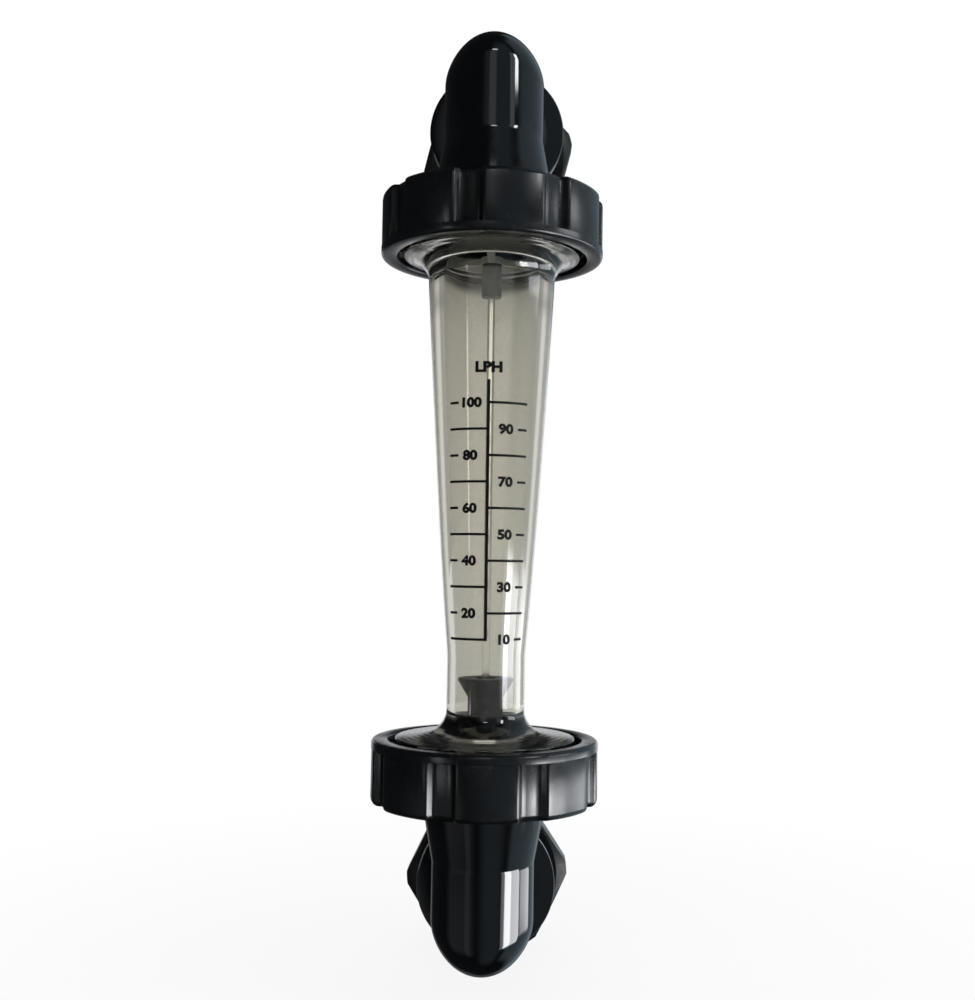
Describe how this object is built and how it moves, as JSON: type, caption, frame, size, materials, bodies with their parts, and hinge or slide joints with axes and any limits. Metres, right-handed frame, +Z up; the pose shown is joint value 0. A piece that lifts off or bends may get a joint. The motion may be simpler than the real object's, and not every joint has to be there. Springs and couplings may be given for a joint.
{
  "type": "rotameter",
  "caption": "Panel rotameter: tapered clear metering tube with printed scale, held between elbows by union nuts, with threaded rear spigots and lock nuts.",
  "frame": {"origin": "on the inlet spigot's axis, at the panel face of its collar", "axes": "+Z up along the metering tube, +Y into the panel along the spigots, the scale faces -Y"},
  "size_m": [0.0448, 0.0818, 0.2004],
  "materials": {
    "clear_acrylic": "clear at the front, fine-blasted on the rear half",
    "scale_ink": "printed black ink",
    "float_plastic": "turned black plastic",
    "stainless_steel": "drawn bright rod",
    "natural_plastic": "natural moulded plastic",
    "stop_plastic": "dark grey tube, cut to length",
    "elbow_plastic": "glossy blue-black moulded plastic",
    "nut_plastic": "satin blue-black moulded plastic",
    "seal_rubber": "moulded rubber"
  },
  "bodies": {
    "root": {"metering_tube": "clear_acrylic", "scale_marks": "scale_ink", "guide_rod": "stainless_steel", "upper_guide": "natural_plastic", "lower_guide": "natural_plastic", "upper_stop": "stop_plastic", "lower_stop": "stop_plastic", "inlet_elbow": "elbow_plastic", "outlet_elbow": "elbow_plastic", "lower_o_ring": "seal_rubber", "upper_o_ring": "seal_rubber"},
    "float": {"float": "float_plastic"},
    "lower_union_nut": {"lower_union_nut": "nut_plastic"},
    "upper_union_nut": {"upper_union_nut": "nut_plastic"},
    "inlet_lock_nut": {"inlet_lock_nut": "nut_plastic"},
    "outlet_lock_nut": {"outlet_lock_nut": "nut_plastic"}
  },
  "joints": [
    {"name": "float_rise", "type": "slide", "parent": "root", "child": "float", "axis": [0, 0, 1], "range_m": [0, 0.076]},
    {"name": "lower_union_nut_turn", "type": "hinge", "parent": "root", "child": "lower_union_nut", "pos_m": [0, -0.0274, 0.0289], "axis": [0, 0, 1], "continuous": true},
    {"name": "upper_union_nut_turn", "type": "hinge", "parent": "root", "child": "upper_union_nut", "pos_m": [0, -0.0274, 0.1371], "axis": [0, 0, 1], "continuous": true},
    {"name": "inlet_lock_nut_travel", "type": "slide", "parent": "root", "child": "inlet_lock_nut", "axis": [0, 1, 0], "range_m": [-0.0055, 0.0153]},
    {"name": "outlet_lock_nut_travel", "type": "slide", "parent": "root", "child": "outlet_lock_nut", "axis": [0, 1, 0], "range_m": [-0.0119, 0.0089]}
  ]
}
